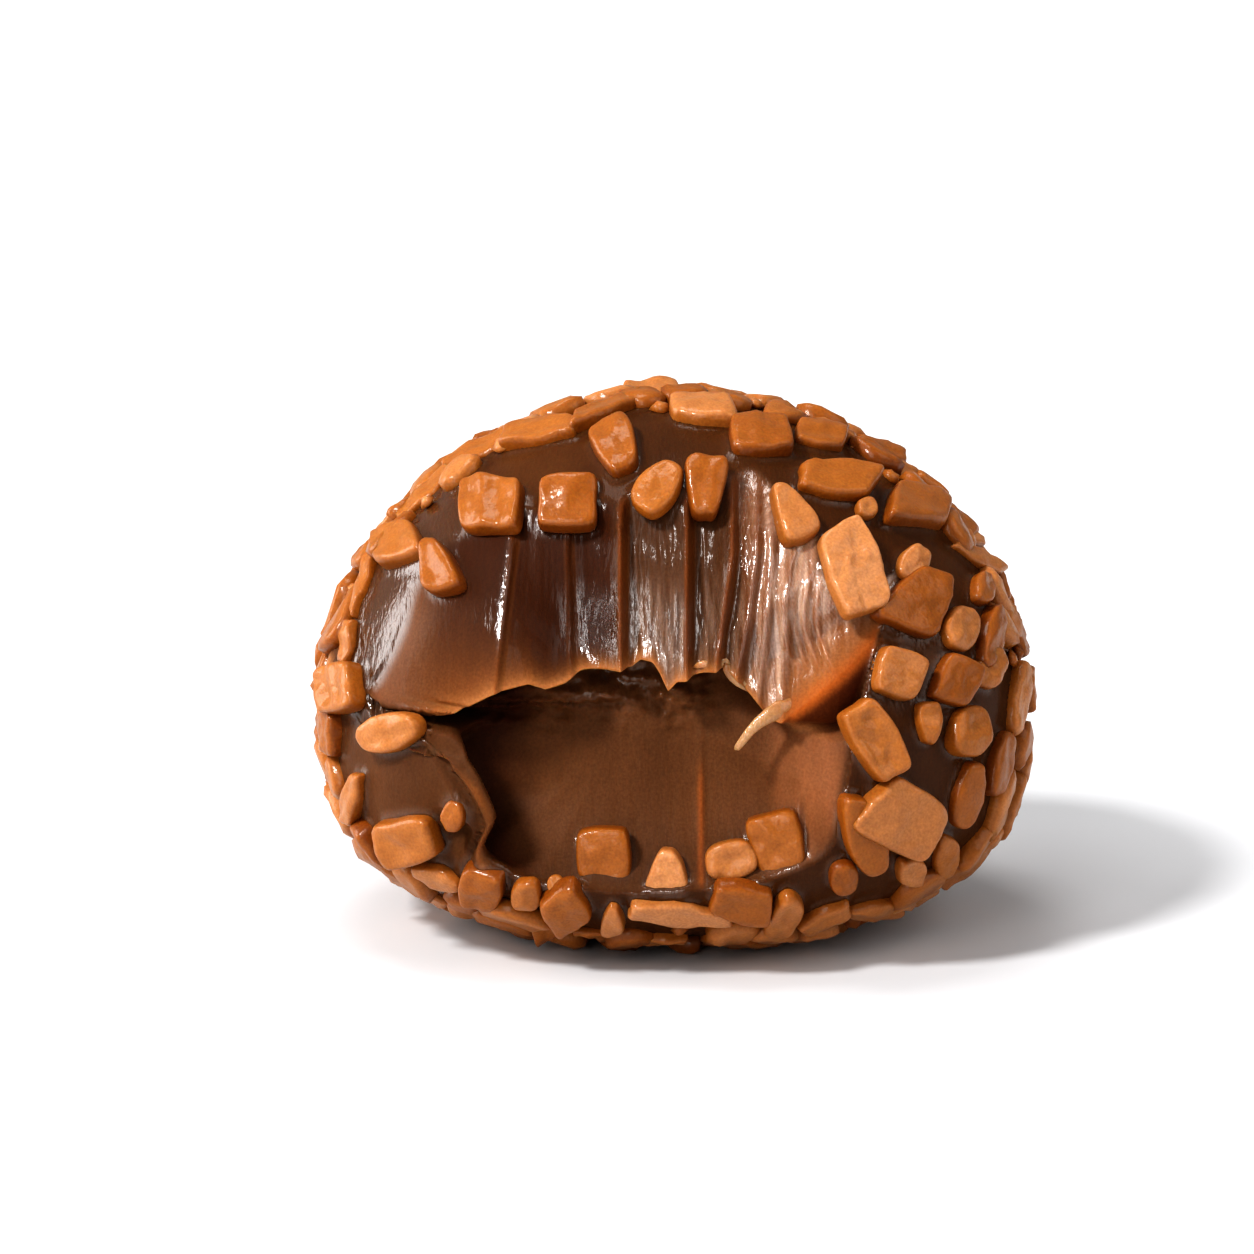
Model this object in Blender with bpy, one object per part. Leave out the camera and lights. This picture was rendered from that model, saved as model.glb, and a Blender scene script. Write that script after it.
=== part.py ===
"""A bitten brigadeiro: one ball of soft caramel-brown fudge, rolled in thick caramel flakes.

The ball stands on a small flat spot. One big bite is missing from its front. The upper teeth scraped
down to a torn ledge at half height, and the lower teeth scraped up under it.
+X is to the right of the bite, +Y is away from it, and +Z is up. All sizes are in metres.
"""

import math
import random

import bmesh
import bpy
from mathutils import Euler, Matrix, Vector

MM = 0.001

# The ball, out to the tops of its flakes.
HALF_WIDTH = 18.0 * MM
HALF_DEPTH = 16.6 * MM
WIDEST_Z = 10.86 * MM
DOME_HEIGHT = 16.0 * MM
BOWL_HEIGHT = 11.27 * MM
PLAN_POWER = 2.15
DOME_POWER = 2.0
BOWL_POWER = 2.7

# The flakes, which stand proud of the fudge between them.
CELLS_PER_SIDE = 7
GRID_LEAN = (math.radians(24), math.radians(17), math.radians(31))
CELL_JITTER = 0.48 * MM
FLAKE_HEIGHT = 0.9 * MM
FLAKE_GAP = 0.34 * MM
FLAKE_BEVEL = 0.22 * MM
FLAKE_DRAFT = 0.07 * MM
FLAKE_TURN = math.radians(8)
FLAKE_TILT = 0.15 * MM
BARE_SHARE = 0.05

# The bite: its mouth on the front of the ball, and how deep it goes.
BITE_X = -0.5 * MM
BITE_Z = 14.9 * MM
BITE_HALF_WIDTH = 11.6 * MM
BITE_HALF_HEIGHT = 9.0 * MM
BITE_DEPTH = 8.2 * MM
MOUTH_POWER = 2.4
WALL_POWER = 3.2
RIM_EASE = 0.5

# The torn ledge across the bite, and the hollow under it.
LEDGE_Z = 14.3 * MM
LEDGE_SLOPE = 0.1
LEDGE_REACH = 2.3 * MM
LEDGE_RISE = 2.2 * MM
LEDGE_THICKNESS = 0.5 * MM
LEDGE_UNDERCUT = 0.8 * MM
UNDERCUT_FADE = 5.5 * MM

# The grooves that the upper teeth left, and the fold of fudge at the right of the bite.
GROOVE_PITCH = 3.1 * MM
GROOVE_DEPTH = 0.35 * MM
GROOVE_FADE = 1.0 * MM
FOLD_LOW = Vector((4.6 * MM, 12.0 * MM))
FOLD_HIGH = Vector((11.0 * MM, 17.6 * MM))
FOLD_WIDTH = 1.1 * MM
FOLD_REACH = 2.0 * MM

# The bare lobe at the lower left of the bite, which lost its flakes.
LOBE = Vector((-12.6 * MM, 8.6 * MM))
LOBE_WIDTH = 3.3 * MM
LOBE_HEIGHT = 4.6 * MM
LOBE_REACH = 5.5 * MM
LOBE_BARE_FROM = 2.75 * MM

# The cutter's grid over the bite, and its front face, clear of the ball.
CUTTER_STEP = 0.62 * MM
CUTTER_MARGIN = 1.1
CUTTER_FRONT = -24.0 * MM
CUTTER_BACK = -20.0 * MM

CREASE_ANGLE = math.radians(40)


def clear_scene():
    for obj in list(bpy.data.objects):
        bpy.data.objects.remove(obj, do_unlink=True)


def material(name, colour, roughness):
    """A Principled material with a plain base colour and roughness."""
    mat = bpy.data.materials.new(name)
    mat.use_nodes = True
    shader = mat.node_tree.nodes["Principled BSDF"]
    shader.inputs["Base Color"].default_value = (*colour, 1.0)
    shader.inputs["Roughness"].default_value = roughness
    shader.inputs["Metallic"].default_value = 0.0
    return mat


def new_object(name, bm):
    mesh = bpy.data.meshes.new(name)
    bm.to_mesh(mesh)
    bm.free()
    obj = bpy.data.objects.new(name, mesh)
    bpy.context.scene.collection.objects.link(obj)
    return obj


def bump(distance, width):
    """1 at no distance, falling smoothly to about nothing past twice the width."""
    return math.exp(-((distance / width) ** 2))


def skin_point(direction):
    """The point of the ball's skin in a direction from the middle of its widest level."""
    height, power = (DOME_HEIGHT, DOME_POWER) if direction.z > 0 else (BOWL_HEIGHT, BOWL_POWER)
    across = abs(direction.x / HALF_WIDTH) ** PLAN_POWER
    deep = abs(direction.y / HALF_DEPTH) ** PLAN_POWER
    plan = (across + deep) ** (1 / PLAN_POWER)
    reach = (plan**power + abs(direction.z / height) ** power) ** (-1 / power)
    point = direction * reach
    return Vector((point.x, point.y, max(point.z + WIDEST_Z, 0.0)))


def skin_front(x, z):
    """Y of the ball's front skin at a place seen from the front, and level past the ball's outline."""
    height, power = (DOME_HEIGHT, DOME_POWER) if z > WIDEST_Z else (BOWL_HEIGHT, BOWL_POWER)
    level = max(1 - min(abs((z - WIDEST_Z) / height), 1.0) ** power, 0.04) ** (1 / power)
    across = min(abs(x / (HALF_WIDTH * level)), 1.0)
    return -HALF_DEPTH * level * max(1 - across**PLAN_POWER, 0.04) ** (1 / PLAN_POWER)


def ledge_reach(x, z):
    """How far the torn ledge stands out of the bite at a place. It is negative in the hollow under it."""
    above = z - LEDGE_Z - LEDGE_SLOPE * x
    if above >= 0:
        return LEDGE_REACH * math.exp(-above / LEDGE_RISE)
    under = min(-above / LEDGE_THICKNESS, 1.0)
    return (LEDGE_REACH - (LEDGE_REACH + LEDGE_UNDERCUT) * under) * math.exp(above / UNDERCUT_FADE)


def groove_depth(x, z):
    """How much deeper the upper teeth cut at a place, and how much less deep between them."""
    fade = min(max(z - LEDGE_Z, 0.0) / GROOVE_FADE, 1.0)
    return GROOVE_DEPTH * math.cos(2 * math.pi * (x - BITE_X) / GROOVE_PITCH) * fade


def fold_reach(x, z):
    """How far the fold at the right stands out of the bite at a place."""
    place = Vector((x, z))
    along = FOLD_HIGH - FOLD_LOW
    share = min(max((place - FOLD_LOW).dot(along) / along.length_squared, 0.0), 1.0)
    return FOLD_REACH * bump((place - FOLD_LOW - along * share).length, FOLD_WIDTH)


def lobe_reach(x, z):
    """How far the bare lobe stands out at a place."""
    return LOBE_REACH * bump(math.hypot((x - LOBE.x) / LOBE_WIDTH, (z - LOBE.y) / LOBE_HEIGHT), 1.0)


def bite_surface(x, z):
    """Y of the bitten surface at a place seen from the front. It is in front of the skin past the mouth."""
    across = abs((x - BITE_X) / BITE_HALF_WIDTH)
    up = abs((z - BITE_Z) / BITE_HALF_HEIGHT)
    mouth = (across**MOUTH_POWER + up**MOUTH_POWER) ** (1 / MOUTH_POWER)
    depth = BITE_DEPTH * (1 - mouth**WALL_POWER)
    inside = max(1 - mouth, 0.0) ** RIM_EASE
    relief = groove_depth(x, z) - ledge_reach(x, z) - fold_reach(x, z)
    return skin_front(x, z) + depth + relief * inside - lobe_reach(x, z)


def flaked_ball():
    """The whole ball: a cube blown up to the ball's form, with every cell raised as one flake."""
    bm = bmesh.new()
    bmesh.ops.create_cube(bm, size=2.0)
    bmesh.ops.subdivide_edges(bm, edges=bm.edges[:], cuts=CELLS_PER_SIDE - 1, use_grid_fill=True)
    draw = random.Random(7)
    lean = Euler(GRID_LEAN).to_matrix()
    for vert in bm.verts:
        even = Vector([math.tan(side * math.pi / 4) for side in vert.co])
        vert.co = skin_point(lean @ even.normalized())
    bm.normal_update()
    for vert in bm.verts:
        shift = Vector([draw.uniform(-1, 1) for _ in range(3)]) * CELL_JITTER
        vert.co = skin_point((vert.co + shift - Vector((0, 0, WIDEST_Z))).normalized())
    raise_flakes(bm, draw)
    for vert in bm.verts:
        vert.co.z = max(vert.co.z, 0.0)
    bmesh.ops.dissolve_degenerate(bm, dist=1e-6, edges=bm.edges[:])
    bmesh.ops.triangulate(bm, faces=bm.faces[:])
    return new_object("brigadeiro", bm)


def holds_flake(cell, draw):
    """Whether a cell of the skin carries a flake: not under the ball, on the bare lobe, or by chance."""
    middle = cell.calc_center_median()
    on_base = min(vert.co.z for vert in cell.verts) <= 0
    on_lobe = middle.y < 0 and lobe_reach(middle.x, middle.z) > LOBE_BARE_FROM
    return draw.random() > BARE_SHARE and not on_base and not on_lobe


def raise_flakes(bm, draw):
    """Sinks the skin to the fudge and raises each cell from it as a rounded, tilted plate."""
    bm.normal_update()
    for vert in bm.verts:
        if vert.co.z > 0:
            vert.co -= vert.normal * FLAKE_HEIGHT
    flakes = [face for face in bm.faces if holds_flake(face, draw)]
    bmesh.ops.inset_individual(bm, faces=flakes, thickness=FLAKE_GAP, depth=0.0, use_even_offset=True)
    for flake in flakes:
        turn = Matrix.Rotation(draw.uniform(-1, 1) * FLAKE_TURN, 3, flake.normal)
        bmesh.ops.rotate(bm, verts=flake.verts, cent=flake.calc_center_median(), matrix=turn)
    bmesh.ops.inset_individual(
        bm, faces=flakes, thickness=FLAKE_DRAFT, depth=FLAKE_HEIGHT - FLAKE_BEVEL, use_even_offset=True
    )
    bmesh.ops.inset_individual(
        bm, faces=flakes, thickness=FLAKE_BEVEL, depth=FLAKE_BEVEL, use_even_offset=True
    )
    for flake in flakes:
        normal = flake.normal.copy()
        low = draw.uniform(0.0, 2 * math.pi)
        for corner, vert in enumerate(flake.verts):
            vert.co += normal * FLAKE_TILT * math.sin(low + corner * math.pi / 2)


def bite_cutter():
    """A block in front of the ball whose back face is the bitten surface."""
    half_x = BITE_HALF_WIDTH * CUTTER_MARGIN
    half_z = BITE_HALF_HEIGHT * CUTTER_MARGIN
    bm = bmesh.new()
    bmesh.ops.create_grid(
        bm, x_segments=round(2 * half_x / CUTTER_STEP), y_segments=round(2 * half_z / CUTTER_STEP), size=1.0
    )
    for vert in bm.verts:
        x = BITE_X + vert.co.x * half_x
        z = BITE_Z + vert.co.y * half_z
        vert.co = Vector((x, max(bite_surface(x, z), CUTTER_BACK), z))
    bmesh.ops.recalc_face_normals(bm, faces=bm.faces[:])
    grown = bmesh.ops.extrude_face_region(bm, geom=bm.faces[:], use_keep_orig=True)
    for item in grown["geom"]:
        if isinstance(item, bmesh.types.BMVert):
            item.co.y = CUTTER_FRONT
    bmesh.ops.recalc_face_normals(bm, faces=bm.faces[:])
    bmesh.ops.triangulate(bm, faces=bm.faces[:])
    cutter = new_object("bite_cutter", bm)
    cutter.hide_render = True
    cutter.hide_viewport = True
    cutter.display_type = "WIRE"
    return cutter


def cut_bite(ball, cutter):
    bite = ball.modifiers.new("bite", "BOOLEAN")
    bite.operation = "DIFFERENCE"
    bite.solver = "EXACT"
    bite.object = cutter


def shade(ball):
    ball.data.shade_smooth()
    ball.data.set_sharp_from_angle(angle=CREASE_ANGLE)


def main():
    clear_scene()
    ball = flaked_ball()
    shade(ball)
    ball.data.materials.append(material("caramel_flakes", (0.42, 0.17, 0.05), 0.4))
    cut_bite(ball, bite_cutter())


main()
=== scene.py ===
"""Looks of a bitten brigadeiro: soft caramel-brown fudge rolled in thick caramel flakes.

The fudge takes the place of the plain solid, sunk by the height of the flakes that stick to it.
Shapes are worked out in millimetres, and MM turns them into the frame's metres.
Places on the front are given as they are seen: millimetres to the right of the middle and above
the middle of the base, on an upright sheet through the ball's middle.
"""

import math
import random

import bmesh
import bpy
from mathutils import Matrix, Vector, noise
from mathutils.bvhtree import BVHTree


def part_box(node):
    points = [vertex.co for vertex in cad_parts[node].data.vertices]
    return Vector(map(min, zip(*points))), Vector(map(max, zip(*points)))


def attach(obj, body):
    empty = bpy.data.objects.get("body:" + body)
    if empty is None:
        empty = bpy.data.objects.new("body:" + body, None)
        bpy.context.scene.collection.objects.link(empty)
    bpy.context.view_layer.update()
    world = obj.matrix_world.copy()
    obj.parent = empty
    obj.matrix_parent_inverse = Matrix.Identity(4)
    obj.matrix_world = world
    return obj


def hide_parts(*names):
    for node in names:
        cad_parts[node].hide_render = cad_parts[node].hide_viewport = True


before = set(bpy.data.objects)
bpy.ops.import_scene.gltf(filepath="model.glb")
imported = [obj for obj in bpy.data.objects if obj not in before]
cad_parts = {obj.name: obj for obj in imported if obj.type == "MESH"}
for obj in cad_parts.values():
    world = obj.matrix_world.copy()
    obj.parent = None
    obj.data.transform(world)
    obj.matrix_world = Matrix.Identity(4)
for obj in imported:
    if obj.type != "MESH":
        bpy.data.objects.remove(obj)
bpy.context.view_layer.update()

MM = 0.001

# The ball out to its flakes' tops, read from the frame.
LOWEST, HIGHEST = (Vector(corner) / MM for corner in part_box("brigadeiro"))
HALF_WIDTH = (HIGHEST.x - LOWEST.x) / 2
HALF_DEPTH = HIGHEST.y
WIDEST_Z = 0.405 * HIGHEST.z
DOME = HIGHEST.z - WIDEST_Z
BOWL = 0.421 * HIGHEST.z
PLAN_POWER = 2.15
DOME_POWER = 2.0
BOWL_POWER = 2.7
FLAKE_SINK = 0.72

# The place that the front is seen from.
EYE_LIFT = math.radians(12)
EYE_DISTANCE = 350.0
AIM = Vector((-2.4, 0.0, 14.8))
SIGHT = Vector((0.0, math.cos(EYE_LIFT), -math.sin(EYE_LIFT)))
UPRIGHT = Vector((0.0, math.sin(EYE_LIFT), math.cos(EYE_LIFT)))
EYE = AIM - SIGHT * EYE_DISTANCE
VIEW_WIDTH = 63.14
SEARCH_REACH = 22.0
SEARCH_STEP = 0.2
SEARCH_STEPS = 200

# How fine the fudge's mesh is: cells along a cube's side, then cuts in the bite and on the front.
CORE_CELLS = 60
BITE_CUTS = 3
FRONT_CUTS = 1

# The bite's rim as seen, clockwise from the top: across, up, how steeply the bite falls from it,
# and how softly it starts (1 for a crisp edge).
RIM = [
    (-1.2, 21.2, 6.0, 1.1),
    (1.4, 21.6, 6.0, 1.1),
    (3.8, 22.6, 5.0, 1.2),
    (5.6, 21.0, 4.0, 1.2),
    (7.2, 19.8, 3.5, 1.2),
    (7.4, 17.6, 3.0, 1.2),
    (8.8, 16.0, 3.0, 1.0),
    (11.2, 15.4, 3.0, 1.0),
    (11.0, 12.9, 3.0, 1.0),
    (10.3, 10.8, 3.0, 1.2),
    (9.2, 8.6, 3.0, 1.3),
    (8.5, 5.6, 3.0, 1.3),
    (7.8, 3.2, 3.5, 1.2),
    (4.8, 1.7, 4.0, 1.1),
    (0.8, 1.2, 4.0, 1.1),
    (-4.2, 1.2, 4.0, 1.1),
    (-6.8, 1.5, 4.0, 1.1),
    (-8.7, 2.3, 5.0, 1.0),
    (-9.5, 3.4, 9.0, 1.0),
    (-8.9, 4.8, 14.0, 1.0),
    (-9.5, 6.4, 14.0, 1.0),
    (-10.25, 7.7, 14.0, 1.0),
    (-11.2, 9.0, 9.0, 1.0),
    (-12.4, 10.1, 4.0, 1.0),
    (-15.2, 10.6, 1.3, 1.0),
    (-16.3, 12.2, 1.2, 1.0),
    (-15.1, 13.4, 1.2, 1.0),
    (-13.9, 15.4, 1.2, 1.0),
    (-13.2, 17.4, 1.3, 1.0),
    (-11.8, 18.8, 1.8, 1.0),
    (-9.3, 20.1, 4.0, 1.1),
    (-5.8, 20.7, 5.5, 1.1),
]
RIM_MIDDLE = (-2.0, 13.2)
UPPER_DEPTH = 4.7
TOP_DEPTH_SHARE = 0.62
LOWER_DEPTH = 4.7
OVERHANG = 1.6
SHOULDER_X = -5.2
SHOULDER_WIDTH = 3.6
SHOULDER_RISE = 0.3

# The torn ledge across the bite, as seen from left to right.
LEDGE_Y = -10.5
LEDGE = [
    (-17.5, 10.0),
    (-14.8, 10.2),
    (-12.3, 10.1),
    (-11.1, 10.4),
    (-10.1, 11.0),
    (-9.1, 11.6),
    (-8.1, 11.9),
    (-7.3, 12.1),
    (-6.5, 11.8),
    (-5.5, 12.1),
    (-4.7, 12.6),
    (-3.4, 12.7),
    (-2.2, 12.7),
    (-1.7, 13.1),
    (-1.1, 13.0),
    (-0.75, 12.5),
    (-0.35, 11.7),
    (0.1, 12.2),
    (0.6, 12.3),
    (1.2, 12.5),
    (2.4, 12.8),
    (3.0, 12.3),
    (4.1, 11.2),
    (4.7, 10.4),
    (5.3, 10.3),
    (6.2, 10.95),
    (7.4, 11.9),
    (8.7, 12.9),
    (9.9, 14.0),
    (10.9, 15.0),
    (12.0, 16.1),
]
LEDGE_ROW = 14.3
UPPER_STARTS = 0.3
LEDGE_PULL = 4.0
LIP_REACH = 1.5
LIP_RISE = 3.6
UNDERCUT = 0.8
# Below the ledge its underside goes back, quickly in the middle and slowly under the thick fold.
UNDERSIDE = 0.75
UNDERSIDE_TUCK = 0.85
FOLD_START = 4.6
FOLD_WIDENS = 3.5
FOLD_THICKNESS = 2.3
FOLD_ROLL = 1.5
FOLD_REACH = 1.7
FOLD_RISE = 2.3
FOLD_END = 11.4
FOLD_HOLLOW = 0.9

# Tooth marks in the upper scrape: across at the top, across at the ledge, and the step's height.
TOOTH_HEIGHT = 6.5
TOOTH_DROP = 0.45
TOOTH_EDGES = [
    (-13.0, -12.0, 0.0),
    (-8.1, -8.9, 0.5),
    (-5.4, -5.2, 0.35),
    (-2.75, -2.75, 1.2),
    (0.5, 0.45, 1.25),
    (2.7, 1.9, 1.15),
    (3.9, 2.9, 0.7),
    (4.6, 3.9, 0.5),
    (5.5, 5.1, 0.4),
    (9.0, 8.6, 0.0),
]

# Torn strands: across, up, width and how far forward of the first place, from root to tip.
STRAND_FLATNESS = 0.6
STRANDS = [
    [(6.5, 10.45, 1.1, -1.0), (5.5, 10.35, 1.1, -0.3), (4.7, 10.0, 0.75, 0.0), (4.0, 9.45, 0.5, 0.2),
     (3.5, 8.85, 0.42, 0.3), (3.2, 8.45, 0.36, 0.3), (3.02, 8.3, 0.3, 0.1)],
    [(2.5, 12.9, 0.3, -0.1), (2.7, 12.3, 0.5, 0.1), (3.1, 11.8, 0.5, 0.1), (3.7, 11.4, 0.35, 0.1),
     (4.2, 11.2, 0.2, -0.1)],
    [(0.9, 12.45, 0.2, 0.0), (1.5, 12.6, 0.42, 0.1), (2.1, 12.5, 0.4, 0.1), (2.5, 12.8, 0.3, 0.1),
     (2.8, 12.6, 0.15, 0.0)],
]

# The rolled edge of the lobe beside the bite: how far out, how high and how wide each roll is.
LOBE_ROLLS = [(1.04, 0.35, 0.04), (1.11, -0.25, 0.03), (1.17, 0.15, 0.03)]

# Curved drag marks beside the large flake at the bite's right.
ARC_MIDDLE = (11.6, 18.1)
ARCS = [(6.4, 0.4, 0.2), (5.9, 0.3, 0.15), (5.4, 0.45, 0.2), (4.8, 0.3, 0.15)]

# What the fudge reflects of red, green and blue: bare, scraped, torn, painted light, painted sheen in
# streaks, on the steep sides of tooth marks, painted shade in the deep part, on the lobe, and tan where it
# is thin, which stands for painted glow of light through it.
BARE_FUDGE = Vector((0.062, 0.019, 0.003))
SMOOTH_FUDGE = Vector((0.070, 0.027, 0.0100))
TORN_FUDGE = Vector((0.105, 0.040, 0.013))
PAINTED_LIGHT_FUDGE = Vector((0.23, 0.088, 0.034))
PAINTED_SHEEN_FUDGE = Vector((0.50, 0.32, 0.225))
WALL_FUDGE = Vector((0.125, 0.037, 0.007))
PAINTED_SHADE_FUDGE = Vector((0.042, 0.010, 0.0015))
LOBE_FUDGE = Vector((0.090, 0.034, 0.011))
TAN = Vector((0.25, 0.090, 0.022))
PALE_TAN = Vector((0.36, 0.155, 0.055))
# Amber is partly the fudge's own red tint and partly painted glow of light through the fold; the deep red
# under it is painted shade.
AMBER = Vector((0.30, 0.08, 0.012))
PAINTED_SHADE_RED = Vector((0.045, 0.008, 0.0015))
CREAM = Vector((0.38, 0.21, 0.095))

# Flakes on the front as seen: across, up, wide, tall, turn in degrees, and form.
FRONT_FLAKES = [
    # Over the top, left to right.
    (-13.7, 18.45, 2.7, 2.6, 14, "square"),
    (-11.65, 17.35, 2.3, 3.0, 14, "drop"),
    (-14.4, 19.9, 2.4, 2.0, 0, "square"),
    (-12.3, 21.0, 3.8, 1.5, 44, "square"),
    (-9.6, 23.1, 3.9, 1.7, 28, "square"),
    (-6.65, 23.95, 3.6, 2.0, 8, "slant"),
    (-3.45, 25.05, 3.8, 1.9, 20, "slant"),
    (-1.1, 25.9, 3.0, 2.4, 6, "square"),
    (-9.2, 20.35, 3.0, 3.2, -2, "ribbed"),
    (-5.3, 20.5, 3.0, 2.9, 3, "deep square"),
    (-2.85, 23.2, 2.7, 3.0, 205, "wedge"),
    (-0.85, 21.3, 2.0, 3.1, -35, "leaf"),
    (1.5, 21.45, 2.7, 3.4, 180, "wedge"),
    (1.3, 25.05, 3.4, 2.3, -4, "pale square"),
    (4.15, 23.85, 3.1, 2.7, 3, "square"),
    (7.2, 23.8, 2.8, 2.1, -8, "square"),
    (8.1, 21.55, 3.9, 2.2, -5, "slant"),
    (10.0, 23.0, 3.0, 1.8, -15, "square"),
    (11.2, 22.1, 2.0, 1.3, -20, "oval"),
    (12.7, 21.5, 2.2, 2.3, 0, "square"),
    (12.0, 20.35, 3.6, 3.0, -10, "square"),
    (5.8, 20.0, 2.4, 3.2, 28, "pale drop"),
    (9.5, 20.2, 1.1, 1.1, 0, "oval"),
    (8.9, 17.3, 2.9, 4.7, 21, "large"),
    (11.8, 17.5, 1.5, 2.0, -25, "oval"),
    (12.1, 15.7, 3.4, 3.9, -28, "wedge"),
    # Down the left side.
    (-15.4, 16.6, 1.2, 3.6, -16, "square"),
    (-16.2, 13.7, 1.2, 2.4, -8, "square"),
    (-16.4, 11.3, 3.0, 2.7, 10, "dished"),
    (-14.0, 9.2, 2.9, 2.1, 14, "oval"),
    (-16.9, 9.2, 2.2, 2.6, 0, "square"),
    (-15.9, 6.0, 1.5, 3.0, -12, "square"),
    (-15.0, 3.8, 2.0, 2.6, 0, "square"),
    (-13.2, 3.85, 3.1, 2.7, 16, "square"),
    (-10.95, 5.1, 1.2, 1.7, 0, "oval"),
    # Down the right side.
    (14.3, 20.0, 2.7, 1.5, -40, "square"),
    (14.8, 18.9, 2.0, 1.2, -15, "square"),
    (15.0, 17.8, 3.2, 1.4, -28, "square"),
    (16.3, 16.9, 2.2, 2.4, 0, "leaf"),
    (15.2, 16.25, 1.6, 1.8, 0, "oval"),
    (14.15, 14.3, 1.7, 2.4, -20, "oval"),
    (15.6, 14.0, 1.8, 3.4, -4, "leaf"),
    (16.9, 14.3, 2.6, 3.0, 0, "leaf"),
    (11.05, 12.05, 2.4, 2.6, -18, "square"),
    (13.95, 11.75, 2.2, 2.6, -22, "square"),
    (15.6, 12.4, 1.6, 2.4, -15, "leaf"),
    (16.9, 10.8, 1.8, 4.0, -8, "leaf"),
    (17.6, 11.4, 2.4, 2.4, 0, "square"),
    (9.9, 8.8, 2.5, 4.0, 30, "deep dished"),
    (12.5, 9.6, 1.6, 2.2, 180, "drop"),
    (14.5, 9.2, 2.0, 2.8, -8, "oval"),
    (16.1, 7.7, 1.8, 3.5, -8, "leaf"),
    (17.2, 8.0, 2.4, 3.4, 0, "leaf"),
    (14.45, 6.0, 1.6, 3.5, -6, "leaf"),
    (16.5, 5.5, 2.2, 3.6, 0, "leaf"),
    (9.4, 4.1, 2.2, 4.6, 16, "oval"),
    (11.1, 5.0, 4.2, 3.6, -32, "kite"),
    (11.7, 2.4, 1.5, 1.7, 0, "square"),
    (13.4, 3.1, 1.5, 2.4, -6, "oval"),
    (14.6, 2.4, 3.0, 1.5, 36, "square"),
    (15.9, 3.4, 2.0, 2.8, 0, "square"),
    # Along the bottom, left to right.
    (-12.8, 1.4, 3.2, 1.5, -28, "square"),
    (-11.7, 2.15, 2.6, 1.4, -20, "oval"),
    (-10.6, 0.5, 1.7, 1.2, -25, "oval"),
    (-9.6, 1.6, 2.2, 2.4, -8, "square"),
    (-8.5, -0.05, 3.0, 1.3, -17, "square"),
    (-7.35, 1.27, 1.5, 1.6, 0, "oval"),
    (-5.95, 1.65, 0.8, 0.9, 0, "oval"),
    (-5.4, 0.7, 2.3, 2.3, 30, "square"),
    (-6.4, -0.3, 1.9, 1.6, 35, "square"),
    (-4.3, -0.6, 1.6, 1.0, 0, "oval"),
    (-3.05, 0.1, 1.5, 1.9, 0, "drop"),
    (-3.55, 3.1, 2.8, 3.2, 3, "square"),
    (-0.3, 2.25, 2.5, 2.4, 0, "pale drop"),
    (2.75, 2.75, 2.6, 2.1, 12, "oval"),
    (5.2, 3.7, 2.8, 3.1, 14, "square"),
    (0.25, 0.25, 4.8, 1.6, -6, "pale square"),
    (3.35, 0.85, 3.0, 2.1, -8, "square"),
    (-0.5, -0.9, 2.4, 1.3, 0, "square"),
    (2.1, -0.9, 2.2, 1.2, 0, "oval"),
    (5.4, 0.2, 1.8, 2.8, -38, "oval"),
    (7.45, 0.15, 2.8, 1.6, 24, "square"),
    (8.4, 2.05, 1.4, 1.8, 0, "oval"),
    (10.05, 0.6, 2.8, 1.7, 5, "square"),
    (12.5, 0.95, 2.4, 1.4, 22, "square"),
]

# Each form's taper towards its top, its skew, how square its outline is, how high it stands, and
# how much paler than the rest it is, which is painted light where above 0 and painted shade where below 0.
FORMS = {
    "square": (0.05, 0.0, 9.0, 0.28, 0.0),
    "slant": (0.0, 0.3, 9.0, 0.28, 0.0),
    "wedge": (0.45, 0.05, 6.0, 0.3, 0.0),
    "drop": (0.6, 0.0, 4.0, 0.3, 0.0),
    "leaf": (0.15, 0.1, 2.6, 0.28, 0.0),
    "oval": (0.0, 0.0, 2.8, 0.3, 0.0),
    "kite": (0.15, 0.12, 7.0, 0.6, 0.5),
    "ribbed": (0.0, 0.0, 9.0, 0.35, -0.5),
    "deep square": (0.05, 0.0, 9.0, 0.28, -0.8),
    "pale square": (0.05, 0.0, 9.0, 0.28, 0.5),
    "pale drop": (0.6, 0.0, 4.0, 0.3, 0.7),
    "dished": (0.05, 0.0, 7.0, 0.45, 0.2),
    "deep dished": (0.05, 0.0, 7.0, 0.45, -0.2),
    "large": (0.0, 0.05, 7.0, 0.4, 0.9),
}
DETAILED_FORMS = ("large", "dished", "deep dished", "ribbed", "kite")

# Every flake: its thickness, its rounded edge, and how much its sides are painted darker and deeper in
# tint, as painted shade.
FLAKE_THICKNESS = 1.12
FLAKE_EDGE = 0.38
FACE_SHADE = 0.25
PAINTED_SIDE_SHADE = 0.3
SIDE_FULLNESS = 0.62
CORNER_SHIFT = 0.17

# How the front's flakes lie: how far they lean, and how far they turn towards the eye.
FRONT_LEAN = 0.1
FACE_LEAN = 0.12
TURNED_FACING = 0.4
MOST_STRETCH = 1.5
LEAST_FACING = 0.3
SEEN_EDGE = 0.93
FRONT_FLAKE_CELLS = 9
DETAILED_FLAKE_CELLS = 18

# The flakes and crumbs scattered over the rest.
LOOSE_FLAKE_CELLS = 3
CRUMB_CELLS = 2
LOOSE_COUNT = 3000
LOOSE_SIZES = (2.2, 3.4)
CRUMB_SIZES = (0.9, 1.5)
LOOSE_OVERLAP = 0.74
CRUMB_OVERLAP = 0.9
LOOSE_LEAN = 0.18
LOOSE_LIFTS = (0.2, 0.32)

# How far the fudge creeps up the flakes, and how wet it is there.
MENISCUS = 0.16
MENISCUS_REACH = 0.24
WET_GLOSS = 0.3

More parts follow.
